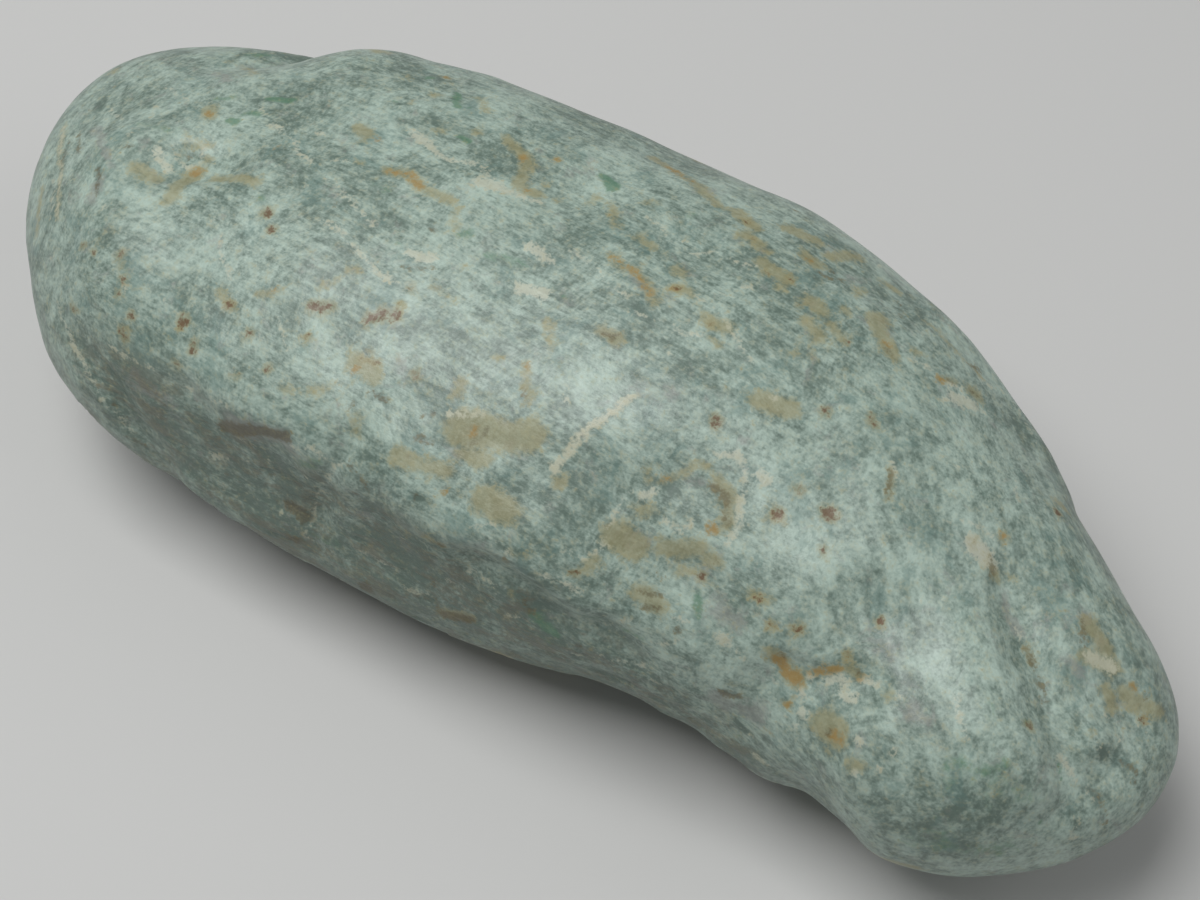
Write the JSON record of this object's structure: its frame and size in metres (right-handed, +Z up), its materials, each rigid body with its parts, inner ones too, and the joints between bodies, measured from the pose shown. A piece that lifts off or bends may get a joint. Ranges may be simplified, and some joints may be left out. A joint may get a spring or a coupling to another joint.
{
  "type": "rough jadeite cobble",
  "caption": "A smooth water-worn cobble of rough jadeite: a long pale green-grey stone with a darker scaly flank, ochre-stained chips, white veins and a swollen foot, at rest on a flat spot.",
  "frame": {"origin": "the middle of the stone's bounding box in plan, on the surface that it lies on", "axes": "+X along the length from the blunt end to the foot, +Y to the back, +Z up"},
  "size_m": [0.126, 0.0536, 0.0387],
  "materials": {
    "jadeite": "waxy satin, tumbled smooth, mottled pale green and grey with ochre stains and white veins"
  },
  "bodies": {
    "root": {"jadeite_cobble": "jadeite"}
  },
  "joints": []
}
